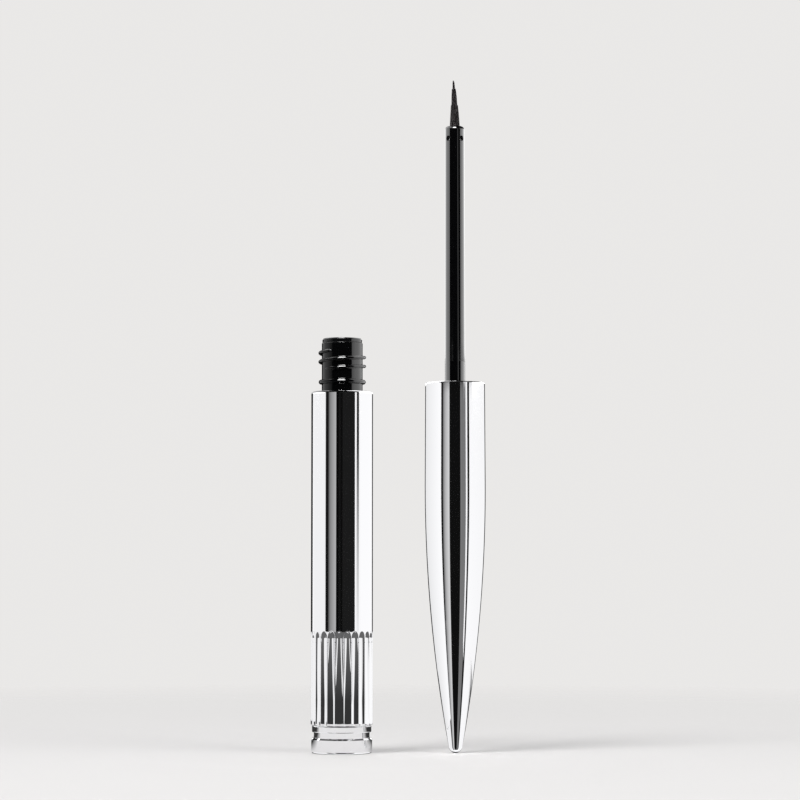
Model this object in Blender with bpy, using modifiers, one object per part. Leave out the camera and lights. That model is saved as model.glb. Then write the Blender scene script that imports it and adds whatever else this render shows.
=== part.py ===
"""A brush eyeliner, open for use: a fluted metal bottle with a black neck, and beside it the bullet-shaped
cap standing on its tip, with the applicator's stem and brush pointing up.

Metres, +Z up. The origin is the centre of the underside of the bottle, on the bottle's axis. The applicator
stands at +X, and -Y is the front.
"""

import math

import bmesh
import bpy
from mathutils import Matrix, Vector

# Clearances that several pieces share
FIT_GAP = 0.0002
FINE_GAP = 0.0001
CUT_OVERRUN = 0.001
MERGE_DISTANCE = 0.000001

# Base plug: a disc, a groove and a ring below the sleeve, and a spigot inside it
DISC_RADIUS = 0.00562
DISC_HEIGHT = 0.00284
DISC_BOTTOM_FILLET = 0.00035
DISC_TOP_CHAMFER = 0.0003
GROOVE_RADIUS = 0.00515
GROOVE_HEIGHT = 0.00104
RING_RADIUS = 0.00548
RING_HEIGHT = 0.0012
RING_FILLET = 0.00012
SPIGOT_HEIGHT = 0.003
SPIGOT_CHAMFER = 0.0003

# Barrel sleeve: a polished tube, fluted at its lower end and turned in at its mouth
BARREL_RADIUS = 0.00575
SLEEVE_LENGTH = 0.0617
SLEEVE_WALL = 0.00075
MOUTH_THICKNESS = 0.0008
MOUTH_FILLET = 0.0004
FLUTE_COUNT = 24
FLUTE_TURN = math.radians(-3.5)
FLUTE_LENGTH = 0.01745
FLUTE_LAND = 0.00012
FLUTE_TOP_DEPTH = 0.0005
FLUTE_FOOT_DEPTH = 0.00012

# Inner vial: the container that slides up into the sleeve, with the neck on top
VIAL_WALL = 0.0009
VIAL_FLOOR = 0.0009
VIAL_CORNER = 0.0008
VIAL_SLOPE_HEIGHT = 0.0013
NECK_RADIUS = 0.00381
NECK_BORE_RADIUS = 0.00305
NECK_LENGTH = 0.0091
BEAD_RADIUS = 0.0044
BEAD_WIDTH = 0.0008
BEAD_HEIGHT = 0.00185

# Wiper: a flanged tube in the neck, drawn in to a lip that strips the stem
WIPER_FLANGE_RADIUS = 0.0037
WIPER_FLANGE_HEIGHT = 0.00077
WIPER_FLANGE_FILLET = 0.00018
WIPER_WALL = 0.00045
WIPER_MOUTH_FLARE = 0.0003
WIPER_TUBE_LENGTH = 0.0042
WIPER_CONE_LENGTH = 0.0024
WIPER_LIP_CLEARANCE = 0.00012

# Mixing ball: it lies loose on the vial's floor, against the wall
BALL_RADIUS = 0.00125

# Cap: a thin shell that closes in a blunt ogive and stands on its tip beside the bottle
APPLICATOR_OFFSET = 0.02107
CAP_LENGTH = 0.0686
CAP_RADIUS = 0.00566
CAP_RIM_RADIUS = 0.00557
CAP_WIDEST_HEIGHT = 0.0493
CAP_TIP_RADIUS = 0.0013
CAP_WALL = 0.0004

# Cap liner: the moulded core of the cap, with a well for the neck and a socket for the stem
LINER_RECESS = 0.0003
LINER_WELL_RADIUS = 0.00455
LINER_LEAD_IN = 0.00015
LINER_FLOOR = 0.0012
SOCKET_WALL = 0.0009
SOCKET_DEPTH = 0.009
SOCKET_END = 0.001
RIB_COUNT = 4
RIB_THICKNESS = 0.0008

# Gasket: the soft washer in the bottom of the well, which the neck closes on
GASKET_THICKNESS = 0.0008

# Applicator stem: a slightly tapered rod, staked onto the brush by four dimples
STEM_FOOT_RADIUS = 0.00188
STEM_TOP_RADIUS = 0.00181
STEM_REACH = 0.0483
STEM_SHOULDER_HEIGHT = 0.0006
STEM_SHOULDER_RADIUS = 0.00118
STEM_FOOT_CHAMFER = 0.0003
BRUSH_SOCKET_DEPTH = 0.0052
DIMPLE_COUNT = 4
DIMPLE_TURN = math.radians(45)
DIMPLE_DIAMETER = 0.00075
DIMPLE_DEPTH = 0.0003
DIMPLE_DROP = 0.0024

# Brush: fibres fused into a root, drawn together and cut to different lengths so that they make a point
BRUSH_RADIUS = 0.00095
BRUSH_LENGTH = 0.0089
BRUSH_ROOT_RECESS = 0.0002
BRUSH_WAIST_RADIUS = 0.0005
BRUSH_WAIST_HEIGHT = 0.0046
FIBRE_RINGS = 8
FIBRE_SPACING = 0.00003
FIBRE_END_SHARE = 0.4
SHORTEST_FIBRE_SHARE = 0.62

# Facets of round shapes
BIG_FACETS = 48
SMALL_FACETS = 32
FLUTE_FACETS = 16
FLUTE_STEPS = 3
DIMPLE_FACETS = 16
FILLET_STEPS = 2
OGIVE_STEPS = 8
TIP_STEPS = 4
BALL_FACETS = 16

# Heights on the bottle, from the surface that it stands on
disc_top = DISC_HEIGHT
groove_top = disc_top + GROOVE_HEIGHT
ring_top = groove_top + RING_HEIGHT
spigot_top = ring_top + SPIGOT_HEIGHT
sleeve_foot = ring_top + FINE_GAP
sleeve_top = sleeve_foot + SLEEVE_LENGTH
mouth_under = sleeve_top - MOUTH_THICKNESS
vial_foot = spigot_top + FIT_GAP
vial_floor_top = vial_foot + VIAL_FLOOR
vial_shoulder = mouth_under - FIT_GAP
neck_top = sleeve_top + NECK_LENGTH
flange_under = neck_top + FINE_GAP
flange_top = flange_under + WIPER_FLANGE_HEIGHT

# Radii on the bottle
sleeve_bore = BARREL_RADIUS - SLEEVE_WALL
mouth_radius = BEAD_RADIUS + FINE_GAP
vial_radius = sleeve_bore - FIT_GAP
vial_bore = vial_radius - VIAL_WALL
wiper_radius = NECK_BORE_RADIUS - FIT_GAP
flute_half_width = (math.tau * BARREL_RADIUS / FLUTE_COUNT - FLUTE_LAND) / 2.0
flute_chord = math.sqrt(BARREL_RADIUS**2 - flute_half_width**2)

# Heights and radii on the applicator: closed, its rim meets the sleeve and its gasket meets the wiper
gasket_face = CAP_LENGTH - (flange_top - sleeve_top)
gasket_under = gasket_face - GASKET_THICKNESS
well_floor = gasket_under - FINE_GAP
liner_under = well_floor - LINER_FLOOR
socket_floor = liner_under - SOCKET_DEPTH
stem_foot = socket_floor + FIT_GAP
stem_top = CAP_LENGTH + STEM_REACH
liner_radius = CAP_RIM_RADIUS - CAP_WALL - FIT_GAP
socket_bore = STEM_FOOT_RADIUS + FIT_GAP
brush_bore = BRUSH_RADIUS + FINE_GAP


def clear_scene():
    for obj in list(bpy.data.objects):
        bpy.data.objects.remove(obj, do_unlink=True)


def new_collection(name, parent=None):
    collection = bpy.data.collections.new(name)
    (parent or bpy.context.scene.collection).children.link(collection)
    return collection


def new_material(name, colour, roughness, metallic=0.0):
    made = bpy.data.materials.new(name)
    made.use_nodes = True
    shader = made.node_tree.nodes["Principled BSDF"]
    shader.inputs["Base Color"].default_value = (*colour, 1.0)
    shader.inputs["Roughness"].default_value = roughness
    shader.inputs["Metallic"].default_value = metallic
    return made


def add_object(name, mesh, collection, finish=None, parent=None):
    obj = bpy.data.objects.new(name, mesh)
    collection.objects.link(obj)
    obj.parent = parent
    if finish:
        mesh.materials.append(finish)
    return obj


def make_helper(obj):
    obj.hide_render = True
    obj.display_type = "WIRE"


def profile_mesh(name, points, closed):
    """A chain of edges in the XZ plane, which a Screw modifier turns about Z."""
    edges = [(i, i + 1) for i in range(len(points) - 1)]
    if closed:
        edges.append((len(points) - 1, 0))
    mesh = bpy.data.meshes.new(name)
    mesh.from_pydata([(radius, 0.0, height) for radius, height in points], edges, [])
    return mesh


def turned(name, points, facets, collection, finish=None, parent=None):
    """A turned solid. The profile runs up the inside, if there is one, and then down the outside.

    A profile that starts on the axis also ends on it. Any other profile closes on itself and leaves a bore.
    """
    obj = add_object(name, profile_mesh(name, points, points[0][0] > 0.0), collection, finish, parent)
    screw = obj.modifiers.new("turn", "SCREW")
    screw.axis = "Z"
    screw.angle = math.tau
    screw.steps = facets
    screw.render_steps = facets
    screw.use_merge_vertices = True
    screw.merge_threshold = MERGE_DISTANCE
    screw.use_smooth_shade = True
    return obj


def arc(centre, radius, start, end, steps):
    """Points of an arc in the XZ plane, from one angle in degrees to another."""
    angles = [math.radians(start + (end - start) * i / steps) for i in range(steps + 1)]
    return [(centre[0] + radius * math.cos(a), centre[1] + radius * math.sin(a)) for a in angles]


def add_boolean(obj, operation, cutter):
    """Joins or cuts with one object, or with every object of a collection."""
    boolean = obj.modifiers.new(cutter.name, "BOOLEAN")
    boolean.operation = operation
    boolean.solver = "EXACT"
    if isinstance(cutter, bpy.types.Collection):
        boolean.operand_type = "COLLECTION"
        boolean.collection = cutter
    else:
        boolean.object = cutter


def shade_by_angle(obj, degrees=30.0):
    obj.data.shade_smooth()
    obj.data.set_sharp_from_angle(angle=math.radians(degrees))


def build_base_plug(parts, finish):
    spigot_radius = sleeve_bore - FIT_GAP
    ring_edge = RING_RADIUS - RING_FILLET
    disc_edge = DISC_RADIUS - DISC_BOTTOM_FILLET
    points = [
        (0.0, spigot_top),
        (spigot_radius - SPIGOT_CHAMFER, spigot_top),
        (spigot_radius, spigot_top - SPIGOT_CHAMFER),
        (spigot_radius, ring_top),
    ]
    points += arc((ring_edge, ring_top - RING_FILLET), RING_FILLET, 90, 0, FILLET_STEPS)
    points += arc((ring_edge, groove_top + RING_FILLET), RING_FILLET, 0, -90, FILLET_STEPS)
    points += [
        (GROOVE_RADIUS, groove_top),
        (GROOVE_RADIUS, disc_top),
        (DISC_RADIUS - DISC_TOP_CHAMFER, disc_top),
        (DISC_RADIUS, disc_top - DISC_TOP_CHAMFER),
    ]
    points += arc((disc_edge, DISC_BOTTOM_FILLET), DISC_BOTTOM_FILLET, 0, -90, FILLET_STEPS)
    points += [(0.0, 0.0)]
    return turned("base_plug", points, BIG_FACETS, parts, finish)


def flute_reach(depth):
    """How far outside the chord between a flute's edges its axis lies, for a flute that deep below the chord."""
    return (flute_half_width**2 - depth**2) / (2.0 * depth)


def build_flute_cutters(cutters):
    """One round bar with a ball end for each flute. The flutes leave a narrow land between them.

    Going down, a bar leans outwards and grows thicker, so that its flute gets shallower and keeps its width.
    """
    group = new_collection("flute_cutters", cutters)
    top_reach = flute_reach(FLUTE_TOP_DEPTH)
    foot_reach = flute_reach(FLUTE_FOOT_DEPTH)
    ball_radius = math.hypot(flute_half_width, top_reach)
    ball_place = flute_chord + top_reach
    ball_rise = math.sqrt(ball_radius**2 - (ball_place - BARREL_RADIUS) ** 2)
    fall = FLUTE_LENGTH - ball_rise
    lean = math.atan2(foot_reach - top_reach, fall)
    points = arc((0.0, 0.0), ball_radius, 90, 0, FLUTE_FACETS // 4)
    points[0] = (0.0, ball_radius)
    for i in range(FLUTE_STEPS):
        share = (i + 1) / FLUTE_STEPS * (fall + CUT_OVERRUN) / fall
        reach = top_reach + (foot_reach - top_reach) * share
        points.append((math.hypot(flute_half_width, reach), -fall * share / math.cos(lean)))
    points.append((0.0, points[-1][1]))
    for i in range(FLUTE_COUNT):
        angle = FLUTE_TURN - math.pi / 2.0 + math.tau * i / FLUTE_COUNT
        bar = turned(f"flute_cutter_{i + 1:02d}", points, FLUTE_FACETS, group)
        bar.location = (ball_place * math.cos(angle), ball_place * math.sin(angle), sleeve_foot + fall)
        bar.rotation_euler = (0.0, -lean, angle)
        make_helper(bar)
    return group


def build_barrel_sleeve(parts, cutters, finish):
    fillet_centre = (BARREL_RADIUS - MOUTH_FILLET, sleeve_top - MOUTH_FILLET)
    points = [(sleeve_bore, sleeve_foot), (sleeve_bore, mouth_under)]
    points += [(mouth_radius, mouth_under), (mouth_radius, sleeve_top)]
    points += arc(fillet_centre, MOUTH_FILLET, 90, 0, FILLET_STEPS)
    points += [(BARREL_RADIUS, sleeve_foot)]
    sleeve = turned("barrel_sleeve", points, BIG_FACETS, parts, finish)
    add_boolean(sleeve, "DIFFERENCE", build_flute_cutters(cutters))
    return sleeve


def build_inner_vial(parts, finish):
    """Floor, wall, sloping shoulder, the collar that fills the sleeve's mouth, and the neck with its bead."""
    slope_top = vial_shoulder - VIAL_WALL
    inner_corner = (vial_bore - VIAL_CORNER, vial_floor_top + VIAL_CORNER)
    outer_corner = (vial_radius - VIAL_CORNER, vial_foot + VIAL_CORNER)
    bead_round = BEAD_WIDTH / 2.0
    bead_centre = (BEAD_RADIUS - bead_round, sleeve_top + BEAD_HEIGHT)
    collar_radius = mouth_radius - FIT_GAP
    points = [(0.0, vial_floor_top)]
    points += arc(inner_corner, VIAL_CORNER, -90, 0, FILLET_STEPS)
    points += [(vial_bore, slope_top - VIAL_SLOPE_HEIGHT), (NECK_BORE_RADIUS, slope_top)]
    points += [(NECK_BORE_RADIUS, neck_top), (NECK_RADIUS, neck_top)]
    points += [(NECK_RADIUS, bead_centre[1] + bead_round)]
    points += arc(bead_centre, bead_round, 60, -60, FILLET_STEPS + 1)
    points += [(NECK_RADIUS, bead_centre[1] - bead_round)]
    points += [(NECK_RADIUS, sleeve_top), (collar_radius, sleeve_top)]
    points += [(collar_radius, vial_shoulder), (vial_radius, vial_shoulder)]
    points += arc(outer_corner, VIAL_CORNER, 0, -90, FILLET_STEPS)
    points += [(0.0, vial_foot)]
    return turned("inner_vial", points, BIG_FACETS, parts, finish)


def build_wiper(parts, finish):
    bore = wiper_radius - WIPER_WALL
    lip_bore = STEM_FOOT_RADIUS + WIPER_LIP_CLEARANCE
    tube_foot = flange_under - WIPER_TUBE_LENGTH
    lip_height = tube_foot - WIPER_CONE_LENGTH
    flange_corner = (WIPER_FLANGE_RADIUS - WIPER_FLANGE_FILLET, flange_top - WIPER_FLANGE_FILLET)
    points = [(lip_bore, lip_height), (bore, tube_foot)]
    points += [(bore, flange_top - WIPER_MOUTH_FLARE), (bore + WIPER_MOUTH_FLARE, flange_top)]
    points += arc(flange_corner, WIPER_FLANGE_FILLET, 90, 0, FILLET_STEPS)
    points += [(WIPER_FLANGE_RADIUS, flange_under), (wiper_radius, flange_under)]
    points += [(wiper_radius, tube_foot), (lip_bore + WIPER_WALL, lip_height)]
    return turned("wiper", points, SMALL_FACETS, parts, finish)


def build_mixing_ball(parts, finish):
    """The ball's edge is one fit gap away from the vial's wall, and as far above its floor."""
    reach = vial_bore - FIT_GAP - BALL_RADIUS
    height = vial_floor_top + FIT_GAP + BALL_RADIUS
    made = bmesh.new()
    bmesh.ops.create_uvsphere(made, u_segments=BALL_FACETS, v_segments=BALL_FACETS // 2, radius=BALL_RADIUS)
    mesh = bpy.data.meshes.new("mixing_ball")
    made.to_mesh(mesh)
    made.free()
    ball = add_object("mixing_ball", mesh, parts, finish)
    ball.location = (-reach, 0.0, height)
    shade_by_angle(ball)
    return ball


def cap_side(inset, tip_steps, ogive_steps):
    """The cap's outline from its tip up to its widest place, drawn in by the inset.

    The long arc is tangent to the barrel at the widest place, and to the ball that rounds the tip.
    """
    tip_rise = CAP_WIDEST_HEIGHT - CAP_TIP_RADIUS
    narrowing = CAP_RADIUS - CAP_TIP_RADIUS
    sweep = (tip_rise**2 / narrowing + CAP_RADIUS + CAP_TIP_RADIUS) / 2.0
    join = -math.degrees(math.atan2(tip_rise, sweep - CAP_RADIUS))
    side = arc((0.0, CAP_TIP_RADIUS), CAP_TIP_RADIUS - inset, -90, join, tip_steps)
    side[0] = (0.0, inset)
    side += arc((CAP_RADIUS - sweep, CAP_WIDEST_HEIGHT), sweep - inset, join, 0, ogive_steps)[1:]
    return side


def build_cap_shell(parts, finish, applicator):
    rim_round = CAP_WALL / 2.0
    rim_centre = (CAP_RIM_RADIUS - rim_round, CAP_LENGTH - rim_round)
    points = cap_side(CAP_WALL, TIP_STEPS // 2, OGIVE_STEPS // 2)
    points += arc(rim_centre, rim_round, 180, 0, 2 * FILLET_STEPS)
    points += reversed(cap_side(0.0, TIP_STEPS, OGIVE_STEPS))
    return turned("cap_shell", points, BIG_FACETS, parts, finish, applicator)


def build_liner_ribs(cutters, applicator):
    """Upright webs below the well that centre the stem's socket in the shell."""
    inner = socket_bore + SOCKET_WALL / 2.0
    outer = math.sqrt(liner_radius**2 - (RIB_THICKNESS / 2.0) ** 2)
    foot = socket_floor - SOCKET_END / 2.0
    top = liner_under + LINER_FLOOR / 2.0
    centre = Matrix.Translation(((inner + outer) / 2.0, 0.0, (foot + top) / 2.0))
    size = Matrix.Diagonal((outer - inner, RIB_THICKNESS, top - foot, 1.0))
    made = bmesh.new()
    for i in range(RIB_COUNT):
        place = Matrix.Rotation(math.tau * i / RIB_COUNT, 4, "Z")
        bmesh.ops.create_cube(made, size=1.0, matrix=place @ centre @ size)
    mesh = bpy.data.meshes.new("liner_ribs")
    made.to_mesh(mesh)
    made.free()
    ribs = add_object("liner_ribs", mesh, cutters, parent=applicator)
    make_helper(ribs)
    return ribs


def build_cap_liner(parts, cutters, finish, applicator):
    socket_radius = socket_bore + SOCKET_WALL
    top = CAP_LENGTH - LINER_RECESS
    points = [(0.0, socket_floor), (socket_bore, socket_floor), (socket_bore, well_floor)]
    points += [(LINER_WELL_RADIUS, well_floor), (LINER_WELL_RADIUS, top - LINER_LEAD_IN)]
    points += [(LINER_WELL_RADIUS + LINER_LEAD_IN, top), (liner_radius, top)]
    points += [(liner_radius, liner_under), (socket_radius, liner_under)]
    points += [(socket_radius, socket_floor - SOCKET_END), (0.0, socket_floor - SOCKET_END)]
    liner = turned("cap_liner", points, SMALL_FACETS, parts, finish, applicator)
    add_boolean(liner, "UNION", build_liner_ribs(cutters, applicator))
    return liner


def build_gasket(parts, finish, applicator):
    outer = LINER_WELL_RADIUS - FIT_GAP
    points = [(socket_bore, gasket_under), (socket_bore, gasket_face)]
    points += [(outer, gasket_face), (outer, gasket_under)]
    return turned("cap_gasket", points, SMALL_FACETS, parts, finish, applicator)


def build_dimple_cutter(cutters, applicator):
    half_width = DIMPLE_DIAMETER / 2.0
    ball_radius = (half_width**2 + DIMPLE_DEPTH**2) / (2.0 * DIMPLE_DEPTH)
    reach = STEM_TOP_RADIUS + ball_radius - DIMPLE_DEPTH
    made = bmesh.new()
    for i in range(DIMPLE_COUNT):
        place = Matrix.Rotation(DIMPLE_TURN + math.tau * i / DIMPLE_COUNT, 4, "Z")
        place = place @ Matrix.Translation((reach, 0.0, stem_top - DIMPLE_DROP))
        bmesh.ops.create_uvsphere(
            made, u_segments=DIMPLE_FACETS, v_segments=DIMPLE_FACETS // 2, radius=ball_radius, matrix=place
        )
    mesh = bpy.data.meshes.new("dimple_cutter")
    made.to_mesh(mesh)
    made.free()
    cutter = add_object("dimple_cutter", mesh, cutters, parent=applicator)
    make_helper(cutter)
    return cutter


def build_stem(parts, cutters, finish, applicator):
    socket_end = stem_top - BRUSH_SOCKET_DEPTH
    shoulder_width = STEM_TOP_RADIUS - STEM_SHOULDER_RADIUS
    shoulder = [
        (STEM_SHOULDER_RADIUS + shoulder_width * across, stem_top - STEM_SHOULDER_HEIGHT * (1.0 - down))
        for across, down in arc((0.0, 0.0), 1.0, 90, 0, FILLET_STEPS + 1)
    ]
    points = [(0.0, socket_end), (brush_bore, socket_end), (brush_bore, stem_top)]
    points += shoulder
    points += [(STEM_FOOT_RADIUS, CAP_LENGTH), (STEM_FOOT_RADIUS, stem_foot + STEM_FOOT_CHAMFER)]
    points += [(STEM_FOOT_RADIUS - STEM_FOOT_CHAMFER, stem_foot), (0.0, stem_foot)]
    stem = turned("applicator_stem", points, SMALL_FACETS, parts, finish, applicator)
    add_boolean(stem, "DIFFERENCE", build_dimple_cutter(cutters, applicator))
    return stem


def ring_place(point):
    """Where a point of a six-sided lattice lies once each lattice ring is a circle: (share of radius, angle)."""
    sixth = math.tau / 6.0
    angle = math.atan2(point.y, point.x) % math.tau
    sector = int(angle / sixth)
    first = Vector((math.cos(sector * sixth), math.sin(sector * sixth)))
    second = Vector((math.cos((sector + 1) * sixth), math.sin((sector + 1) * sixth)))
    whole = first.cross(second)
    near = point.xy.cross(second) / whole
    far = first.cross(point.xy) / whole
    share = near + far
    return share, (sector + far / share) * sixth


def fibre_length(share):
    """The middle fibres are the longest, which makes the point of the brush."""
    return BRUSH_LENGTH * (1.0 - (1.0 - SHORTEST_FIBRE_SHARE) * share**2)


def build_brush(parts, finish, applicator):
    """A fused root whose upper face is a lattice of small triangles, each drawn up into one fibre."""
    root_top = stem_top - BRUSH_ROOT_RECESS
    root_foot = stem_top - BRUSH_SOCKET_DEPTH + FINE_GAP
    made = bmesh.new()
    corner_first = Matrix.Rotation(math.pi / 2.0, 4, "Z")
    bmesh.ops.create_circle(made, cap_ends=True, cap_tris=True, segments=6, radius=1.0, matrix=corner_first)
    bmesh.ops.subdivide_edges(made, edges=made.edges[:], cuts=FIBRE_RINGS - 1, use_grid_fill=True)
    for vert in made.verts:
        if vert.co.length > MERGE_DISTANCE:
            share, angle = ring_place(vert.co)
            vert.co = Vector((math.cos(angle), math.sin(angle), 0.0)) * share * BRUSH_RADIUS
        vert.co.z = root_top
    bmesh.ops.recalc_face_normals(made, faces=made.faces[:])
    if made.faces[0].normal.z < 0.0:
        bmesh.ops.reverse_faces(made, faces=made.faces[:])
    lattice = made.faces[:]

    rim = [edge for edge in made.edges if edge.is_boundary]
    drawn = bmesh.ops.extrude_edge_only(made, edges=rim)["geom"]
    lower = [item for item in drawn if isinstance(item, bmesh.types.BMVert)]
    bmesh.ops.translate(made, verts=lower, vec=(0.0, 0.0, root_foot - root_top))
    bmesh.ops.contextual_create(made, geom=[edge for edge in made.edges if edge.is_boundary])

    bmesh.ops.inset_individual(made, faces=lattice, thickness=FIBRE_SPACING / 2.0)
    waist_share = BRUSH_WAIST_RADIUS / BRUSH_RADIUS
    tops = bmesh.ops.extrude_discrete_faces(made, faces=lattice)["faces"]
    for face in tops:
        for vert in face.verts:
            vert.co = Vector((vert.co.x * waist_share, vert.co.y * waist_share, stem_top + BRUSH_WAIST_HEIGHT))
    for face in bmesh.ops.extrude_discrete_faces(made, faces=tops)["faces"]:
        middle = face.calc_center_median()
        end = stem_top + fibre_length(middle.xy.length / BRUSH_WAIST_RADIUS)
        for vert in face.verts:
            drawn_in = middle.lerp(vert.co, FIBRE_END_SHARE)
            vert.co = Vector((drawn_in.x, drawn_in.y, end))
    bmesh.ops.recalc_face_normals(made, faces=made.faces[:])
    mesh = bpy.data.meshes.new("brush")
    made.to_mesh(mesh)
    made.free()
    brush = add_object("brush", mesh, parts, finish, applicator)
    shade_by_angle(brush)
    return brush


def main():
    clear_scene()
    parts = new_collection("eyeliner")
    cutters = new_collection("cutters")

    mirror_metal = new_material("mirror_metal", (0.9, 0.9, 0.91), 0.04, 1.0)
    ball_steel = new_material("ball_steel", (0.62, 0.62, 0.63), 0.18, 1.0)
    black_plastic = new_material("black_plastic", (0.006, 0.006, 0.007), 0.12)
    wiper_plastic = new_material("wiper_plastic", (0.012, 0.012, 0.013), 0.2)
    gasket_foam = new_material("gasket_foam", (0.7, 0.7, 0.68), 0.75)
    brush_fibre = new_material("brush_fibre", (0.02, 0.014, 0.014), 0.45)

    build_base_plug(parts, mirror_metal)
    build_barrel_sleeve(parts, cutters, mirror_metal)
    build_inner_vial(parts, black_plastic)
    build_wiper(parts, wiper_plastic)
    build_mixing_ball(parts, ball_steel)

    applicator = bpy.data.objects.new("applicator", None)
    parts.objects.link(applicator)
    applicator.location.x = APPLICATOR_OFFSET
    build_cap_shell(parts, mirror_metal, applicator)
    build_cap_liner(parts, cutters, black_plastic, applicator)
    build_gasket(parts, gasket_foam, applicator)
    build_stem(parts, cutters, black_plastic, applicator)
    build_brush(parts, brush_fibre, applicator)


main()
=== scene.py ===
"""Looks of the brush eyeliner: fine surfaces, materials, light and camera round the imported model.

Metres, +Z up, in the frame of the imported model: the bottle stands on its axis at the origin, the applicator
at +X, and -Y is the front. An angle round an axis is in degrees from the front, positive towards +X.
"""

import math
import random

import bmesh
import bpy
from mathutils import Matrix, Vector


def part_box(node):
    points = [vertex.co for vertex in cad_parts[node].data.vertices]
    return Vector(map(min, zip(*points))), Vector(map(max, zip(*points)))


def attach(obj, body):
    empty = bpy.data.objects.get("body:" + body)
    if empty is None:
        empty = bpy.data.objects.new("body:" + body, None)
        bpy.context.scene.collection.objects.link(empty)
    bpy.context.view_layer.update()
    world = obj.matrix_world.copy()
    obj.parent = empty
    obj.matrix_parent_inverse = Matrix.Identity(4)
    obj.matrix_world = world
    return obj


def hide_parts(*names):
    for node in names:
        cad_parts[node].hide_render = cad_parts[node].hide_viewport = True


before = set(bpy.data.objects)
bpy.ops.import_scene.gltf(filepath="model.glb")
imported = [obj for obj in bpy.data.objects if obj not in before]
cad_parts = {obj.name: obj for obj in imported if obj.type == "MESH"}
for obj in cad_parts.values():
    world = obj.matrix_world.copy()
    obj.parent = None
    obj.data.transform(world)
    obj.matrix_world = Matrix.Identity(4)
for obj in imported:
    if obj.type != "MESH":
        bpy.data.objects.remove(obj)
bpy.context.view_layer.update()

# Rings and columns of the fine surfaces
TURNED_COLUMNS = 240
FILLET_STEPS = 8
LONG_ARC_STEPS = 72
SUPPORT_MARGIN = 0.00004
SHARP_ANGLE = 28.0

# Base plug
DISC_HEIGHT = 0.00284
DISC_BOTTOM_FILLET = 0.00035
DISC_TOP_CHAMFER = 0.0003
GROOVE_RADIUS = 0.00515
GROOVE_HEIGHT = 0.00104
RING_RADIUS = 0.00548
RING_HEIGHT = 0.0012
RING_FILLET = 0.00012
PLUG_CHAMFER = 0.0003
SPIGOT_RADIUS = 0.0048

# Barrel sleeve and its flutes
SLEEVE_BORE = 0.005
MOUTH_RADIUS = 0.0045
MOUTH_THICKNESS = 0.0008
MOUTH_FILLET = 0.0004
FLUTE_COUNT = 24
FLUTE_TURN = -3.5
FLUTE_LAND = 0.00012
FLUTE_LENGTH = 0.01725
FLUTE_TOP_DEPTH = 0.0005
FLUTE_FOOT_DEPTH = 0.00021
FLUTE_FILLET = 0.00007
FLUTE_END_STRETCH = 1.9
FLUTE_COLUMNS = 18
EDGE_COLUMNS = 5
EDGE_ANGLE = 0.7
BISECTIONS = 30
FLUTE_ROWS = 24
FLUTE_END_ROWS = 24
SLEEVE_FOOT_FILLET = 0.0001
SLEEVE_SHARP_ANGLE = 40.0

# Inner vial with its neck and bead, and the thread round the neck
VIAL_BORE = 0.0039
VIAL_FLOOR = 0.0009
VIAL_WALL = 0.0009
VIAL_CORNER = 0.0008
VIAL_SLOPE_HEIGHT = 0.0013
NECK_RADIUS = 0.00381
NECK_BORE = 0.00305
NECK_LIP_FILLET = 0.00004
BEAD_RADIUS = 0.0044
BEAD_WIDTH = 0.0008
BEAD_HEIGHT = 0.00185
BEAD_FOOT = 0.0001
THREAD_PITCH = 0.00165
THREAD_RADIUS = 0.00445
THREAD_WIDTH = 0.00078
THREAD_HEIGHT_AT_LEFT = 0.07251
THREAD_END_ANGLE = -413.0
THREAD_START_ANGLE = 333.0
THREAD_RUN_OUT = 32.0
THREAD_STEPS_PER_TURN = 120
THREAD_ROOT_DEPTH = 0.0001
THREAD_HOLLOW_SHARE = 0.12
THREAD_HOLLOW_STEPS = 3
THREAD_ROUND_STEPS = 12
THREAD_LEAST_WIDTH = 0.3
THREAD_SHARP_ANGLE = 45.0

# Wiper
WIPER_FLANGE_FILLET = 0.00018
WIPER_FLANGE_HEIGHT = 0.00077
WIPER_TUBE_RADIUS = 0.00285
WIPER_BORE = 0.0024
WIPER_MOUTH_FLARE = 0.0003
WIPER_TUBE_LENGTH = 0.0042
WIPER_WALL = 0.00045
WIPER_LIP_BORE = 0.002

# Cap shell: a blunt ogive with a thin round rim
CAP_WIDEST_HEIGHT = 0.0493
CAP_TIP_RADIUS = 0.0013
CAP_RIM_RADIUS = 0.00557
CAP_WALL = 0.0004

# Cap liner with its inner thread
LINER_WELL_RADIUS = 0.00455
LINER_LEAD_IN = 0.00015
LINER_FLOOR = 0.0012
SOCKET_BORE = 0.00208
SOCKET_WALL = 0.0009
SOCKET_END = 0.001
SOCKET_DEPTH = 0.009
RIB_COUNT = 4
RIB_THICKNESS = 0.0008
INNER_THREAD_RADIUS = 0.00415
INNER_THREAD_DROP = 0.0072
INNER_THREAD_TURN = 540.0
GASKET_EDGE = 0.0001

# Stem
STEM_SHOULDER_HEIGHT = 0.0006
STEM_SHOULDER_RADIUS = 0.00118
STEM_TOP_RADIUS = 0.00181
STEM_FOOT_CHAMFER = 0.0003
BRUSH_BORE = 0.00105
BRUSH_SOCKET_DEPTH = 0.0052
DIMPLE_COUNT = 4
DIMPLE_TURN = 45.0
DIMPLE_DIAMETER = 0.00096
DIMPLE_DEPTH = 0.0006
DIMPLE_DROP = 0.0024
DIMPLE_ROWS = 28
DIMPLE_ROWS_REACH = 0.7
DIMPLE_FLATNESS = 5
STEM_COLUMNS = 256

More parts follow.
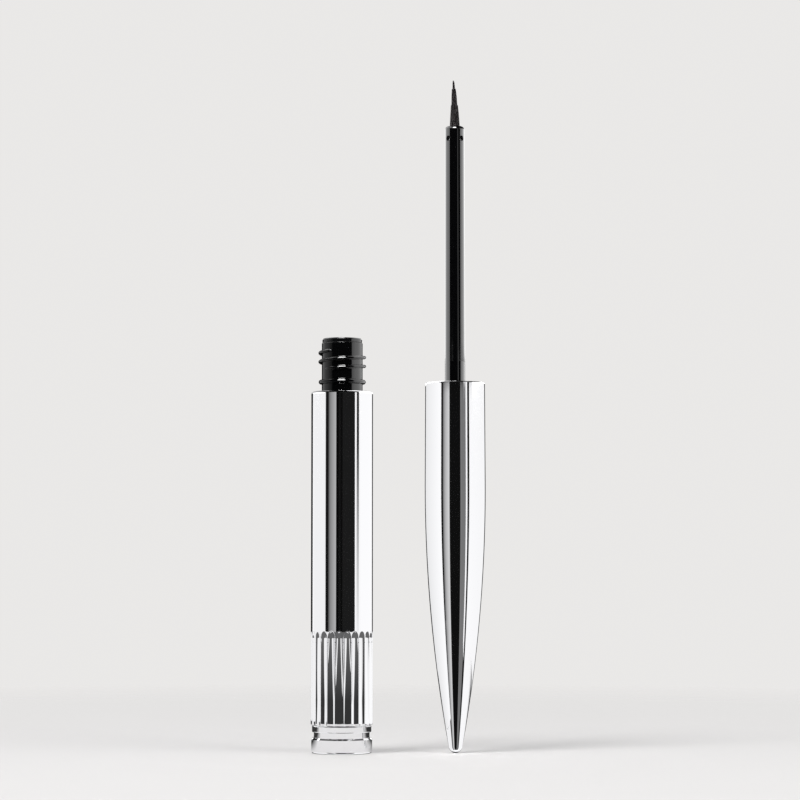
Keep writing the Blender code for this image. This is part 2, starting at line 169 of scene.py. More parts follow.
# Brush
BRUSH_RADIUS = 0.00095
BRUSH_LENGTH = 0.0088
FIBRE_COUNT = 760
FIBRE_SIDES = 5
FIBRE_RADIUS = 0.00003
FIBRE_STEPS = 9
FIBRE_LEAN = -0.00024
FIBRE_WANDER = 0.05
FIBRE_TIP_TAPER = 3.0
FIBRE_TIP_THICKNESS = 0.25
FIBRE_BUNDLED_THICKNESS = 0.75
FIBRE_SHARP_ANGLE = 80.0
BRUSH_HEIGHT_SHARES = (0.0, 0.24, 0.46, 0.65, 0.82, 0.97, 1.0)
BRUSH_WIDTH_SHARES = (1.0, 0.86, 0.72, 0.66, 0.5, 0.38, 0.3)
GROUP_EDGE_SHARES = (0.5, 0.8, 1.0)
GROUP_LENGTH_SHARES = (1.0, 0.82, 0.47)
GROUP_SCATTER_SHARES = (0.1, 0.035, 0.035)
BRUSH_SEED = 11

# Mixing ball
BALL_CUTS = 12
BALL_SHARP_ANGLE = 60.0

# Materials
METAL_COLOUR = (0.905, 0.905, 0.92)
METAL_HAZE = (0.03, 0.055)
STEEL_COLOUR = (0.62, 0.62, 0.63)
STEEL_SATIN = (0.14, 0.26)
PLASTIC_IOR = 1.53
BLACK_COLOUR = (0.0018, 0.0018, 0.0021)
BLACK_GLOSS = (0.04, 0.08)
WIPER_COLOUR = (0.004, 0.004, 0.0045)
WIPER_GLOSS = (0.08, 0.14)
FOAM_COLOURS = ((0.74, 0.73, 0.70), (0.58, 0.57, 0.55))
FOAM_ROUGHNESS = 0.8
FIBRE_COLOURS = ((0.001, 0.0007, 0.0008), (0.009, 0.0056, 0.006))
FIBRE_SATIN = (0.34, 0.55)

# Camera
CAMERA_PLACE = Vector((0.01079, -0.48, 0.033))
CAMERA_TILT = 3.862
CAMERA_LENS = 116.01
CAMERA_CLIP = 0.01
SENSOR_WIDTH = 36.0

# Floor, world and lamps
FLOOR_RADIUS = 0.9
FLOOR_SEGMENTS = 96
FLOOR_FADE = (0.04, 0.30)
FLOOR_COLOUR = (0.80, 0.79, 0.78)
FLOOR_IN_GLOSS = (0.110, 0.120)
FLOOR_GRAZING = (0.80, 0.86)
FLOOR_DIM_SHARE = 0.05
FLOOR_DIMS_BEHIND = (0.003, 0.026)
FLOOR_DIMS_BEHIND_RIGHT = (0.010, 0.030)
FLOOR_RIGHT_FROM = (0.013, 0.018)
BACKDROP_COLOUR = (0.82, 0.81, 0.80)
AMBIENT_COLOUR = (0.62, 0.62, 0.63)
KEY_PLACE = (-0.32, -0.30, 0.55)
KEY_TARGET = (0.01, 0.0, 0.05)
KEY_SIZE = 0.28
KEY_POWER = 2.0
FILL_PLACE = (0.45, -0.25, 0.25)
FILL_TARGET = (0.01, 0.0, 0.06)
FILL_SIZE = 0.40
FILL_POWER = 1.0

# The studio as the gloss sees it, as (angle from the front, brightness) stops: level with the metal, raised
# and overhead. The heights that follow are sines of the elevation.
LEVEL_BANDS = (
    (-180.0, 0.015), (-150.0, 0.015), (-147.0, 1.0), (-136.0, 1.0), (-131.0, 1.07), (-127.0, 0.97),
    (-60.0, 0.97), (-58.6, 0.006), (-49.0, 0.006), (-48.0, 0.17), (-43.5, 0.34), (-40.0, 0.46),
    (-36.0, 0.54), (-28.5, 0.66), (-23.6, 0.72), (-22.4, 0.005), (18.2, 0.005), (19.2, 0.25), (22.5, 0.19),
    (38.0, 0.19), (40.4, 0.24), (41.4, 0.006), (52.4, 0.006), (53.4, 1.06), (140.0, 1.02), (150.0, 1.02),
    (153.0, 0.015), (180.0, 0.015),
)
RAISED_BANDS = (
    (-180.0, 1.5), (-150.0, 3.2), (-128.0, 3.4), (-106.0, 4.3), (-89.0, 3.7), (-74.0, 3.2), (-66.0, 3.0),
    (-64.0, 0.004), (30.5, 0.004), (32.0, 1.0), (39.5, 1.0), (41.0, 0.004), (66.0, 0.004), (68.0, 3.0),
    (78.0, 3.4), (100.0, 4.0), (130.0, 4.0), (150.0, 3.5), (180.0, 1.5),
)
OVERHEAD_BANDS = (
    (-140.0, 0.05), (-130.0, 4.0), (-60.0, 4.0), (-40.0, 2.0), (-30.0, 3.0), (-20.0, 34.0), (12.0, 34.0),
    (23.0, 0.05),
)
RAISED_FROM = (0.0830, 0.0840)
RAISED_TO = (0.20, 0.26)
OVERHEAD_FROM = (0.42, 0.46)
OVERHEAD_TO = (0.87, 0.90)
ZENITH_COLOUR = (0.004, 0.004, 0.004)
UNDERNEATH_TO = (-0.93, -0.89)
UNDERNEATH_COLOUR = (1.1, 1.1, 1.1)

# Flat upright cards, as (start in plan, end in plan, lowest height, highest height)
BRIGHT_STRIP = ((0.0739, -0.0670), (0.0628, -0.0434), 0.0022, 0.080)
BRIGHT_STRIP_TONE = 1.05
DARK_STRIP = ((0.0628, -0.0434), (0.0509, -0.0246), 0.0022, 0.080)
DARK_STRIP_TONE = 0.004
DARK_STRIP_SHARES = (0.1, 0.97)
DARK_STRIP_FADE = (0.020, 0.060)
DIVIDER_LEFT = ((0.0109, 0.008), (0.0109, -0.0063), 0.0048, 0.0685)
DIVIDER_LEFT_TONE = 1.07
DIVIDER_RIGHT = ((0.0111, -0.0098), (0.0111, 0.008), 0.0022, 0.0690)
DIVIDER_RIGHT_TONES = (1.066, 0.88)
DIVIDER_RIGHT_FADE = (-0.0075, 0.0043)
DIVIDER_STEM = ((0.011, -0.004), (0.011, 0.015), 0.0690, 0.14)
DIVIDER_STEM_TONE = 3.0
LEFT_EDGE = ((-0.0119, 0.0057), (-0.0080, 0.0088), 0.0048, 0.068)
LEFT_EDGE_TONE = 0.008

# Cards bent round a wall. Tones are (angle at which the wall sends its gloss off, brightness) stops.
RING_CARD_STEP = 3.0
BARREL_ARC = 0.014
BARREL_CARD_HEIGHTS = (0.0222, 0.0690)
BARREL_TONES = (
    (-67.0, 0.97), (-63.2, 0.97), (-62.0, 0.008), (-50.4, 0.008), (-48.0, 0.14), (-42.8, 0.25),
    (-39.0, 0.30), (-32.6, 0.37), (-25.0, 0.45), (-21.2, 0.49), (-19.4, 0.002), (-13.0, 0.002),
    (-9.0, 0.009), (-4.0, 0.006), (2.0, 0.002), (4.0, 0.0115), (50.6, 0.0115),
)
FLUTE_CARD_HEIGHTS = (0.00468, 0.0222)
FLUTE_CARD_REACH = (-80.0, 80.0)
FLUTE_DARK_MIDDLE = -2.0
FLUTE_DARK_HEIGHTS = (0.0095, 0.0215)
FLUTE_DARK_LIMIT = (54.5, 23.0)
FLUTE_DARK_TONE = (0.036, 0.13)
FLUTE_DARK_EDGE = (0.94, 1.0)
FLUTE_WHITE_TONE = 0.97
NECK_ARC = 0.007
NECK_CARD_HEIGHTS = (0.0689, 0.0772)
MOUTH_ARC = 0.0062
MOUTH_CARD_HEIGHTS = (0.06665, 0.0689)
NECK_LEFT_TONES = (
    (-178.0, 0.004), (-140.0, 0.004), (-138.0, 0.7), (-128.0, 0.7), (-89.0, 0.5), (-64.0, 0.2),
    (-58.0, 0.15), (-56.0, 0.004), (-22.0, 0.004),
)
NECK_RIGHT_TONES = (
    (18.0, 0.004), (57.0, 0.004), (59.0, 1.5), (80.0, 2.1), (116.0, 1.9), (140.0, 1.5), (148.0, 1.3),
    (150.0, 0.004), (178.0, 0.004),
)
STEM_ARC = 0.0095
STEM_CARD_HEIGHTS = (0.0692, 0.0732)
STEM_TONES = (
    (-150.0, 3.0), (-66.0, 3.0), (-64.0, 0.004), (30.5, 0.004), (32.0, 1.0), (39.5, 1.0), (41.0, 0.004),
    (66.0, 0.004), (68.0, 3.0), (78.0, 3.4), (100.0, 4.0), (150.0, 3.5),
)

# Level cards round a wall, between an inner and an outer radius: dark sheets close to the metal that only the
# gloss sees. They paint shade into the reflections of the flute ends, the top of the base ring and the cap's
# rim.
BARREL_SHELF_RADII = (0.00585, 0.0108)
BARREL_SHELF_TONE = 0.14
FLUTE_END_SHELF = 0.0204
FLUTE_END_REACH = (-57.0, 78.0)
RING_SHELF = 0.0060
RIM_SHELF = 0.0692
RIM_SHELF_REACH = (-180.0, 180.0)
RIM_SHELF_RADII = (0.0058, 0.0076)
RIM_SHELF_TONE = 0.03


def turn_place(radius, degrees, height):
    """A point at an angle from the front round the Z axis."""
    angle = math.radians(degrees)
    return Vector((radius * math.sin(angle), -radius * math.cos(angle), height))


def arc(centre, radius, start, end, steps=FILLET_STEPS):
    """Points of an arc in a profile, from one angle in degrees to another."""
    angles = [math.radians(start + (end - start) * i / steps) for i in range(steps + 1)]
    return [(centre[0] + radius * math.cos(a), centre[1] + radius * math.sin(a)) for a in angles]


def supported(points, closed):
    """The profile with two more points on each long straight stretch, so that fillets shade crisply."""
    made = []
    count = len(points)
    for i, point in enumerate(points):
        made.append(point)
        if i == count - 1 and not closed:
            continue
        start = Vector(point)
        end = Vector(points[(i + 1) % count])
        length = (end - start).length
        if length > 4.0 * SUPPORT_MARGIN:
            share = SUPPORT_MARGIN / length
            made += [tuple(start.lerp(end, share)), tuple(start.lerp(end, 1.0 - share))]
    return made


def link(name, mesh):
    obj = bpy.data.objects.new(name, mesh)
    bpy.context.scene.collection.objects.link(obj)
    return obj


def finish_mesh(name, made, angle=SHARP_ANGLE):
    """A smooth-shaded object from a bmesh, with its normals out and its creases sharp."""
    bmesh.ops.recalc_face_normals(made, faces=made.faces[:])
    mesh = bpy.data.meshes.new(name)
    made.to_mesh(mesh)
    made.free()
    mesh.shade_smooth()
    mesh.set_sharp_from_angle(angle=math.radians(angle))
    return link(name, mesh)


def add_turned(made, points, columns=TURNED_COLUMNS, axis_x=0.0):
    """A turned surface in a bmesh. A profile that starts off the axis closes on itself."""
    closed = points[0][0] > 0.0
    points = supported(points, closed)
    rings = []
    for radius, height in points:
        if radius == 0.0:
            rings.append([made.verts.new((axis_x, 0.0, height))] * columns)
            continue
        ring = [turn_place(radius, 360.0 * j / columns, height) for j in range(columns)]
        rings.append([made.verts.new((axis_x + p.x, p.y, p.z)) for p in ring])
    pairs = list(zip(rings, rings[1:]))
    if closed:
        pairs.append((rings[-1], rings[0]))
    for lower, upper in pairs:
        for j in range(columns):
            corners = (lower[j], lower[(j + 1) % columns], upper[(j + 1) % columns], upper[j])
            face = list(dict.fromkeys(corners))
            if len(face) > 2:
                made.faces.new(face)


def turned(name, points, columns=TURNED_COLUMNS, axis_x=0.0):
    made = bmesh.new()
    add_turned(made, points, columns, axis_x)
    return finish_mesh(name, made)


def feed(tree, socket, value):
    """Gives a node's input a value, or the output of another node."""
    if isinstance(value, bpy.types.NodeSocket):
        tree.links.new(value, socket)
    else:
        socket.default_value = value


def set_by_name(tree, node, values):
    """Sets a node's properties and inputs by name, with an underscore for each space."""
    for key, value in values.items():
        if hasattr(node, key):
            setattr(node, key, value)
        else:
            feed(tree, node.inputs[key.replace("_", " ")], value)


def add_node(tree, kind, **values):
    node = tree.nodes.new(kind)
    set_by_name(tree, node, values)
    return node


def new_shader(name, colour=None, **values):
    """A material, its nodes and its Principled BSDF, with values that are set by name."""
    made = bpy.data.materials.new(name)
    made.use_nodes = True
    tree = made.node_tree
    shader = tree.nodes["Principled BSDF"]
    if colour:
        values["Base_Color"] = (*colour, 1.0)
    set_by_name(tree, shader, values)
    return made, tree, shader


def own_place(tree):
    """The place on the surface, in the object's own metres."""
    return add_node(tree, "ShaderNodeTexCoord").outputs["Object"]


def noise_at(tree, scale, detail=2.0, stretch=(1.0, 1.0, 1.0)):
    mapping = add_node(tree, "ShaderNodeMapping", Vector=own_place(tree), Scale=stretch)
    place = mapping.outputs["Vector"]
    return add_node(tree, "ShaderNodeTexNoise", Vector=place, Scale=scale, Detail=detail).outputs["Fac"]


def ranged(tree, source, low, high, source_low=0.3, source_high=0.7):
    """A value mapped from one range, by default that of a noise texture, to another."""
    ends = {"From_Min": source_low, "From_Max": source_high, "To_Min": low, "To_Max": high}
    return add_node(tree, "ShaderNodeMapRange", Value=source, **ends).outputs["Result"]


def two_colours(tree, factor, first, second):
    """A ramp from one colour to another."""
    ramp = add_node(tree, "ShaderNodeValToRGB", Fac=factor)
    for element, colour in zip(ramp.color_ramp.elements, (first, second)):
        element.color = (*colour, 1.0)
    return ramp.outputs["Color"]


def finish(tree, shader, roughness, height, distance, strength):
    """Gives a shader its roughness, and a bump from a texture."""
    bump = add_node(tree, "ShaderNodeBump", Height=height, Distance=distance, Strength=strength)
    set_by_name(tree, shader, {"Roughness": roughness, "Normal": bump.outputs["Normal"]})


def mirror_metal():
    """Polished plating: a clean mirror with faint haze, and hairlines drawn along the tube."""
    made, tree, shader = new_shader("mirror_metal", METAL_COLOUR, Metallic=1.0)
    haze = ranged(tree, noise_at(tree, scale=260.0, detail=3.0), *METAL_HAZE)
    hairlines = noise_at(tree, scale=2200.0, detail=1.0, stretch=(1.0, 1.0, 0.02))
    finish(tree, shader, haze, hairlines, distance=0.000002, strength=0.05)
    return made


def ball_steel():
    """The mixing ball: satin steel, tumbled rather than polished."""
    made, tree, shader = new_shader("ball_steel", STEEL_COLOUR, Metallic=1.0)
    satin = ranged(tree, noise_at(tree, scale=3000.0), *STEEL_SATIN)
    finish(tree, shader, satin, noise_at(tree, scale=9000.0), distance=0.000003, strength=0.2)
    return made


def gloss_plastic(name, colour, roughness, strength):
    """Glossy moulded plastic: a slight ripple from the mould and a gloss that varies a little."""
    made, tree, shader = new_shader(name, colour, IOR=PLASTIC_IOR)
    gloss = ranged(tree, noise_at(tree, scale=500.0), *roughness)
    ripple = noise_at(tree, scale=900.0, detail=1.0)
    finish(tree, shader, gloss, ripple, distance=0.000004, strength=strength)
    return made


def gasket_foam():
    """Closed-cell foam, off-white, with fine cells."""
    made, tree, shader = new_shader("gasket_foam")
    cells = add_node(tree, "ShaderNodeTexVoronoi", Vector=own_place(tree), Scale=9000.0).outputs["Distance"]
    colour = two_colours(tree, cells, *FOAM_COLOURS)
    set_by_name(tree, shader, {"Base_Color": colour})
    finish(tree, shader, FOAM_ROUGHNESS, cells, distance=0.00002, strength=0.5)
    return made


def brush_fibre():
    """Dark dyed filaments: each a little different in tone, with a soft sheen along it."""
    sheen = {"Specular_IOR_Level": 0.2, "Sheen_Weight": 0.03, "Sheen_Roughness": 0.4}
    made, tree, shader = new_shader("brush_fibre", **sheen)
    strand = add_node(tree, "ShaderNodeNewGeometry").outputs["Random Per Island"]
    colour = two_colours(tree, strand, *FIBRE_COLOURS)
    set_by_name(tree, shader, {"Base_Color": colour})
    streaks = noise_at(tree, scale=6000.0, stretch=(1.0, 1.0, 0.15))
    satin = ranged(tree, streaks, *FIBRE_SATIN)
    finish(tree, shader, satin, streaks, distance=0.000005, strength=0.25)
    return made


def base_plug():
    """The disc with its top chamfer, the groove, the ring, and the spigot inside the sleeve."""
    low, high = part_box("base_plug")
    disc_radius = high.x
    groove_top = DISC_HEIGHT + GROOVE_HEIGHT
    ring_top = groove_top + RING_HEIGHT
    ring_edge = RING_RADIUS - RING_FILLET
    bottom_centre = (disc_radius - DISC_BOTTOM_FILLET, low.z + DISC_BOTTOM_FILLET)
    points = [(0.0, low.z)]
    points += arc(bottom_centre, DISC_BOTTOM_FILLET, -90, 0)
    points += [(disc_radius, DISC_HEIGHT - DISC_TOP_CHAMFER), (disc_radius - DISC_TOP_CHAMFER, DISC_HEIGHT)]
    points += [(GROOVE_RADIUS, DISC_HEIGHT), (GROOVE_RADIUS, groove_top)]
    points += arc((ring_edge, groove_top + RING_FILLET), RING_FILLET, -90, 0)
    points += arc((ring_edge, ring_top - RING_FILLET), RING_FILLET, 0, 90)
    points += [(SPIGOT_RADIUS, ring_top), (SPIGOT_RADIUS, high.z - PLUG_CHAMFER)]
    points += [(SPIGOT_RADIUS - PLUG_CHAMFER, high.z), (0.0, high.z)]
    return turned("base_plug_polished", points)


def flute_half_width(barrel_radius):
    pitch = math.tau * barrel_radius / FLUTE_COUNT
    return (pitch - FLUTE_LAND) / 2.0


def flute_shape(share, barrel_radius):
    """The flute's cross section at a share of the way down it: (distance of its axis, radius).

    Every section passes through the two edges of the flute, which keeps its width while it gets shallower.
    """
    half_width = flute_half_width(barrel_radius)
    chord = math.sqrt(barrel_radius**2 - half_width**2)
    top_reach, foot_reach = (
        (half_width**2 - depth**2) / (2.0 * depth) for depth in (FLUTE_TOP_DEPTH, FLUTE_FOOT_DEPTH)
    )
    reach = top_reach + (foot_reach - top_reach) * share
    return chord + reach, math.hypot(half_width, reach)


def smooth_max(first, second, width):
    """The larger of two distances, rounded where they are nearly equal."""
    overlap = max(width - abs(first - second), 0.0) / width
    return max(first, second) + overlap**2 * width / 4.0


def sleeve_radius_at(offset, axis, radius, rise, barrel_radius):
    """Distance from the barrel's axis to its fluted surface, at an angle off the middle of a flute.

    The rise is the height above the centre of the ball that ends the flute, and zero below it.
    """
    pitch = math.tau / FLUTE_COUNT
    inner = barrel_radius - 2.0 * FLUTE_TOP_DEPTH
    outer = barrel_radius
    for _ in range(BISECTIONS):
        middle = (inner + outer) / 2.0
        walls = []
        for angle in (offset, abs(offset) - pitch):
            along = middle * math.cos(angle) - axis
            across = middle * math.sin(angle)
            walls.append(radius - math.sqrt(along**2 + across**2 + rise**2))
        flutes = smooth_max(*walls, FLUTE_FILLET)
        if smooth_max(middle - barrel_radius, flutes, FLUTE_FILLET) < 0.0:
            inner = middle
        else:
            outer = middle
    return outer


def fluted_rows(barrel_radius, foot, flute_top):
    """Rows of the fluted stretch from its foot up: (height, axis, radius, rise above the ball's centre)."""
    top_axis, top_radius = flute_shape(0.0, barrel_radius)
    highest = math.sqrt(top_radius**2 - (top_axis - barrel_radius) ** 2)
    ball_height = flute_top - highest * FLUTE_END_STRETCH
    rows = []
    for i in range(FLUTE_ROWS):
        share = 1.0 - i / FLUTE_ROWS
        axis, radius = flute_shape(share, barrel_radius)
        rows.append((ball_height + (foot - ball_height) * share, axis, radius, 0.0))
    for i in range(FLUTE_END_ROWS + 1):
        rise = (highest + 2.0 * FLUTE_FILLET) * i / FLUTE_END_ROWS
        rows.append((ball_height + rise * FLUTE_END_STRETCH, top_axis, top_radius, rise))
    return rows


def flute_offsets(barrel_radius):
    """Angles off the middle of a flute, close together at its edges, for it and the land after it."""
    pitch = math.tau / FLUTE_COUNT
    edge = math.asin(flute_half_width(barrel_radius) / barrel_radius)
    near = edge - math.radians(EDGE_ANGLE)
    offsets = [-near + 2.0 * near * i / FLUTE_COLUMNS for i in range(FLUTE_COLUMNS)]
    step = (pitch / 2.0 - near) / EDGE_COLUMNS
    return offsets + [near + step * i for i in range(2 * EDGE_COLUMNS)]


def add_flutes(made, barrel_radius, foot, flute_top):
    """The fluted stretch from its rounded foot up. Returns its first and last row."""
    pitch = math.tau / FLUTE_COUNT
    offsets = flute_offsets(barrel_radius)
    folded = [offset if offset <= pitch / 2.0 else offset - pitch for offset in offsets]
    sections = []
    axis, radius = flute_shape(1.0, barrel_radius)
    for out, up in arc((0.0, 0.0), SLEEVE_FOOT_FILLET, -90, 0)[:-1]:
        sections.append((foot + SLEEVE_FOOT_FILLET + up, axis, radius, 0.0, SLEEVE_FOOT_FILLET - out))
    rows = fluted_rows(barrel_radius, foot + SLEEVE_FOOT_FILLET, flute_top)
    sections += [(*row, 0.0) for row in rows]
    grid = []
    for height, axis, radius, rise, inset in sections:
        walls = [sleeve_radius_at(offset, axis, radius, rise, barrel_radius) - inset for offset in folded]
        row = []
        for i in range(FLUTE_COUNT):
            middle = math.radians(FLUTE_TURN) + pitch * i
            for wall, offset in zip(walls, offsets):
                row.append(turn_place(wall, math.degrees(middle + offset), height))
        grid.append([made.verts.new(point) for point in row])
    columns = len(grid[0])
    for lower, upper in zip(grid, grid[1:]):
        for j in range(columns):
            following = (j + 1) % columns
            made.faces.new((lower[j], lower[following], upper[following], upper[j]))
    return grid[0], grid[-1], rows[-1][0]


def barrel_sleeve():
    """The polished tube, with its ball-ended flutes and its turned-in mouth."""
    low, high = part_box("barrel_sleeve")
    radius = high.x
    made = bmesh.new()
    foot_row, top_row, plain_foot = add_flutes(made, radius, low.z, low.z + FLUTE_LENGTH)

    def next_row(previous, ring_radius, height):
        ring = []
        for vert in previous:
            flat = Vector((vert.co.x, vert.co.y)).normalized() * ring_radius
            ring.append(made.verts.new((flat.x, flat.y, height)))
        for j, vert in enumerate(previous):
            following = (j + 1) % len(previous)
            made.faces.new((vert, previous[following], ring[following], ring[j]))
        return ring

    upper = supported([(radius, plain_foot), (radius, high.z - MOUTH_FILLET)], False)[1:]
    upper += arc((radius - MOUTH_FILLET, high.z - MOUTH_FILLET), MOUTH_FILLET, 0, 90)[1:]
    inner = [upper[-1], (MOUTH_RADIUS, high.z), (MOUTH_RADIUS, high.z - MOUTH_THICKNESS)]
    inner += [(SLEEVE_BORE, high.z - MOUTH_THICKNESS), (SLEEVE_BORE, low.z)]
    ring = top_row
    for ring_radius, height in upper + supported(inner, False)[1:]:
        ring = next_row(ring, ring_radius, height)
    for j, vert in enumerate(ring):
        following = (j + 1) % len(ring)
        made.faces.new((vert, ring[following], foot_row[following], foot_row[j]))
    return finish_mesh("barrel_sleeve_polished", made, SLEEVE_SHARP_ANGLE)


def inner_vial():
    """The container with its sloping shoulder, and the neck with the bead below the thread."""
    low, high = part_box("inner_vial")
    sleeve_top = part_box("barrel_sleeve")[1].z
    radius = high.x
    shoulder = sleeve_top - MOUTH_THICKNESS - (SLEEVE_BORE - radius)
    collar = MOUTH_RADIUS - (SLEEVE_BORE - radius)
    slope_top = shoulder - VIAL_WALL
    floor_top = low.z + VIAL_FLOOR
    bead_round = BEAD_WIDTH / 2.0
    bead_centre = (BEAD_RADIUS - bead_round, sleeve_top + BEAD_HEIGHT)
    lip = high.z - NECK_LIP_FILLET
    points = [(0.0, low.z)]
    points += arc((radius - VIAL_CORNER, low.z + VIAL_CORNER), VIAL_CORNER, -90, 0)
    points += [(radius, shoulder), (collar, shoulder), (collar, sleeve_top), (NECK_RADIUS, sleeve_top)]
    foot_centre = (NECK_RADIUS + BEAD_FOOT, bead_centre[1] - bead_round - BEAD_FOOT)
    points += arc(foot_centre, BEAD_FOOT, 180, 90)
    points += arc(bead_centre, bead_round, -90, 90, 2 * FILLET_STEPS)
    head_centre = (NECK_RADIUS + BEAD_FOOT, bead_centre[1] + bead_round + BEAD_FOOT)
    points += arc(head_centre, BEAD_FOOT, 270, 180)
    points += arc((NECK_RADIUS - NECK_LIP_FILLET, lip), NECK_LIP_FILLET, 0, 90)
    points += [(NECK_BORE, high.z), (NECK_BORE, slope_top), (VIAL_BORE, slope_top - VIAL_SLOPE_HEIGHT)]
    points += reversed(arc((VIAL_BORE - VIAL_CORNER, floor_top + VIAL_CORNER), VIAL_CORNER, -90, 0))
    points += [(0.0, floor_top)]
    return turned("vial_and_neck", points)


def thread_section(height, width, root_depth):
    """Half-round ridge with hollow feet and its root in the wall, as (outward, upward) points going up."""
    foot = width * THREAD_HOLLOW_SHARE
    rounding = width / 2.0 - foot
    points = [(-root_depth, -width / 2.0)]
    points += arc((foot, -width / 2.0), foot, 180, 90, THREAD_HOLLOW_STEPS)
    points += arc((height - rounding, 0.0), rounding, -90, 90, THREAD_ROUND_STEPS)
    points += arc((foot, width / 2.0), foot, 270, 180, THREAD_HOLLOW_STEPS)
    points += [(-root_depth, width / 2.0)]
    return points


def thread(name, root_radius, crest_radius, left_height, first, last, axis_x=0.0):
    """A right-hand thread swept from one angle up to another. Its ends run out into the wall."""
    height = abs(crest_radius - root_radius)
    outward = 1.0 if crest_radius > root_radius else -1.0
    section = thread_section(height, THREAD_WIDTH, THREAD_ROOT_DEPTH)
    steps = round((last - first) / 360.0 * THREAD_STEPS_PER_TURN)
    made = bmesh.new()
    rings = []
    for i in range(steps + 1):
        angle = first + (last - first) * i / steps
        middle = left_height + THREAD_PITCH * (angle + 90.0) / 360.0
        to_end = min(angle - first, last - angle) / THREAD_RUN_OUT
        size = math.sqrt(max(1.0 - (1.0 - min(to_end, 1.0)) ** 2, 0.0))
        width = max(size, THREAD_LEAST_WIDTH)
        ring = []
        for out, up in section:
            sunk = out * size if out > 0.0 else out
            place = turn_place(root_radius + outward * sunk, angle, middle + up * width)
            ring.append(made.verts.new((axis_x + place.x, place.y, place.z)))
        rings.append(ring)
    count = len(section)
    for lower, upper in zip(rings, rings[1:]):
        for j in range(count):
            following = (j + 1) % count
            made.faces.new((lower[j], lower[following], upper[following], upper[j]))
    made.faces.new(rings[0])
    made.faces.new(rings[-1])
    return finish_mesh(name, made, THREAD_SHARP_ANGLE)


def wiper():
    """The flange on top of the neck, its flared mouth, and the tube that narrows to a lip."""
    low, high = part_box("wiper")
    radius = high.x
    under = high.z - WIPER_FLANGE_HEIGHT
    tube_foot = under - WIPER_TUBE_LENGTH
    corner = (radius - WIPER_FLANGE_FILLET, high.z - WIPER_FLANGE_FILLET)
    points = [(WIPER_LIP_BORE, low.z), (WIPER_LIP_BORE + WIPER_WALL, low.z), (WIPER_TUBE_RADIUS, tube_foot)]
    points += [(WIPER_TUBE_RADIUS, under), (radius, under)]
    points += arc(corner, WIPER_FLANGE_FILLET, 0, 90)
    flare_centre = (WIPER_BORE + WIPER_MOUTH_FLARE, high.z - WIPER_MOUTH_FLARE)
    points += arc(flare_centre, WIPER_MOUTH_FLARE, 90, 180)
    points += [(WIPER_BORE, tube_foot)]
    return turned("wiper_moulded", points)


def mixing_ball():
    """A cube cast to a ball, so that no facet narrows to a pole."""
    low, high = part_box("mixing_ball")
    centre = (low + high) / 2.0
    radius = (high.z - low.z) / 2.0
    made = bmesh.new()
    bmesh.ops.create_cube(made, size=2.0)
    bmesh.ops.subdivide_edges(made, edges=made.edges[:], cuts=BALL_CUTS, use_grid_fill=True)
    for vert in made.verts:
        vert.co = centre + vert.co.normalized() * radius
    return finish_mesh("mixing_ball_steel", made, BALL_SHARP_ANGLE)


def cap_side(radius, inset, tip_steps, side_steps):
    """The cap's outline from its tip up to its widest place, drawn in by the inset."""
    tip_rise = CAP_WIDEST_HEIGHT - CAP_TIP_RADIUS
    narrowing = radius - CAP_TIP_RADIUS
    sweep = (tip_rise**2 / narrowing + radius + CAP_TIP_RADIUS) / 2.0
    join = -math.degrees(math.atan2(tip_rise, sweep - radius))
    side = arc((0.0, CAP_TIP_RADIUS), CAP_TIP_RADIUS - inset, -90, join, tip_steps)
    side[0] = (0.0, inset)
    side += arc((radius - sweep, CAP_WIDEST_HEIGHT), sweep - inset, join, 0, side_steps)[1:]
    return side


def cap_shell(axis_x):
    low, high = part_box("cap_shell")
    radius = (high.x - low.x) / 2.0
    rim_round = CAP_WALL / 2.0
    points = cap_side(radius, 0.0, 2 * FILLET_STEPS, LONG_ARC_STEPS)
    points += arc((CAP_RIM_RADIUS - rim_round, high.z - rim_round), rim_round, 0, 180, 2 * FILLET_STEPS)
    points += reversed(cap_side(radius, CAP_WALL, FILLET_STEPS, LONG_ARC_STEPS // 3))
    return turned("cap_shell_polished", points, axis_x=axis_x)


def cap_liner(axis_x):
    """The well for the neck, the socket for the stem, and the webs that centre the socket in the shell."""
    low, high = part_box("cap_liner")
    radius = (high.x - low.x) / 2.0
    socket_radius = SOCKET_BORE + SOCKET_WALL
    socket_floor = low.z + SOCKET_END
    under = socket_floor + SOCKET_DEPTH
    well_floor = under + LINER_FLOOR
    points = [(0.0, low.z), (socket_radius, low.z), (socket_radius, under), (radius, under)]
    points += [(radius, high.z), (LINER_WELL_RADIUS + LINER_LEAD_IN, high.z)]
    points += [(LINER_WELL_RADIUS, high.z - LINER_LEAD_IN), (LINER_WELL_RADIUS, well_floor)]
    points += [(SOCKET_BORE, well_floor), (SOCKET_BORE, socket_floor), (0.0, socket_floor)]
    made = bmesh.new()
    add_turned(made, points, axis_x=axis_x)
    inner = SOCKET_BORE + SOCKET_WALL / 2.0
    outer = math.sqrt(radius**2 - (RIB_THICKNESS / 2.0) ** 2)
    foot = socket_floor - SOCKET_END / 2.0
    top = under + LINER_FLOOR / 2.0
    centre = Matrix.Translation(((inner + outer) / 2.0, 0.0, (foot + top) / 2.0))
    size = Matrix.Diagonal((outer - inner, RIB_THICKNESS, top - foot, 1.0))
    for i in range(RIB_COUNT):
        turn = Matrix.Translation((axis_x, 0.0, 0.0)) @ Matrix.Rotation(math.tau * i / RIB_COUNT, 4, "Z")
        bmesh.ops.create_cube(made, size=1.0, matrix=turn @ centre @ size)
    return finish_mesh("cap_liner_moulded", made)


